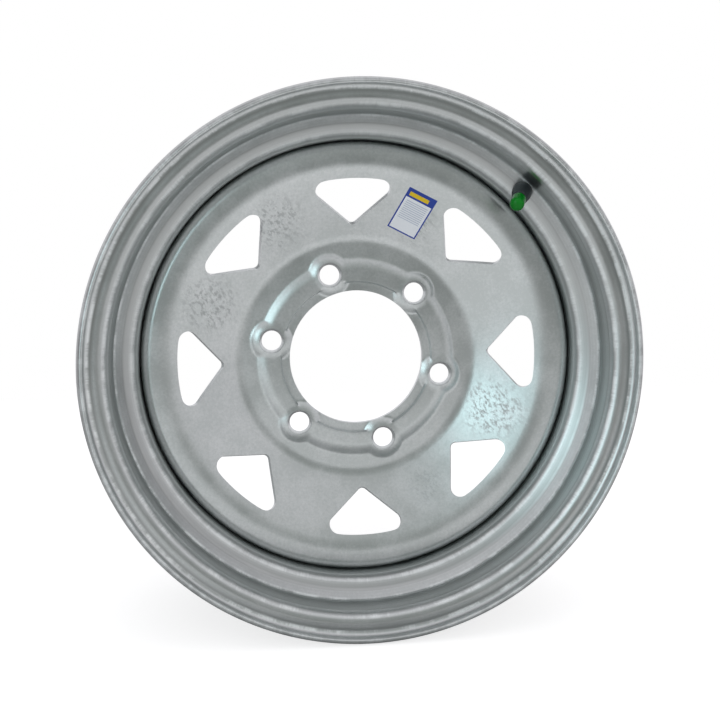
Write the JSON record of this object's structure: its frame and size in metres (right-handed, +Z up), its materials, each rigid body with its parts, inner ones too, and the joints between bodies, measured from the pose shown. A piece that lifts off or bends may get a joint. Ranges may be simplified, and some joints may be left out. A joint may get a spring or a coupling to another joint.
{
  "type": "steel wheel rim",
  "caption": "Pressed steel wheel rim with a drop-centre barrel, a dished disc with rounded triangular windows, a raised stud ring and a capped tyre valve.",
  "frame": {"origin": "on the axle line, in the plane of the mounting face, which is also the middle of the rim's width", "axes": "+Y along the axle towards the vehicle, -Y out of the dished face, +Z up with the wheel upright"},
  "size_m": [0.4148, 0.1814, 0.4146],
  "materials": {
    "galvanised_steel": "hot-dip galvanised",
    "weld_steel": "galvanised weld bead",
    "valve_rubber": "moulded",
    "seal_rubber": "moulded",
    "valve_brass": "turned",
    "core_steel": "plated",
    "gasket_plastic": "plain",
    "cap_plastic": "moulded",
    "label_paper": "coated"
  },
  "bodies": {
    "wheel": {"rim_barrel": "galvanised_steel", "wheel_disc": "galvanised_steel", "disc_welds": "weld_steel", "valve_body": "valve_rubber", "valve_stem": "valve_brass", "core_gasket": "gasket_plastic", "core_housing": "valve_brass", "core_spring": "core_steel", "label": "label_paper"},
    "pin": {"core_pin": "core_steel", "core_seal": "seal_rubber"},
    "cap": {"valve_cap": "cap_plastic", "cap_seal": "seal_rubber"}
  },
  "joints": [
    {"name": "pin_push", "type": "slide", "parent": "wheel", "child": "pin", "axis": [0.4024, 0.809, 0.4285], "range_m": [0, 0.0012], "stiffness_N_per_m": 600, "springref_m": -0.001, "deforming": ["core_spring"]},
    {"name": "cap_lift", "type": "slide", "parent": "wheel", "child": "cap", "axis": [-0.4024, -0.809, -0.4285], "range_m": [0, 0.00556]}
  ]
}
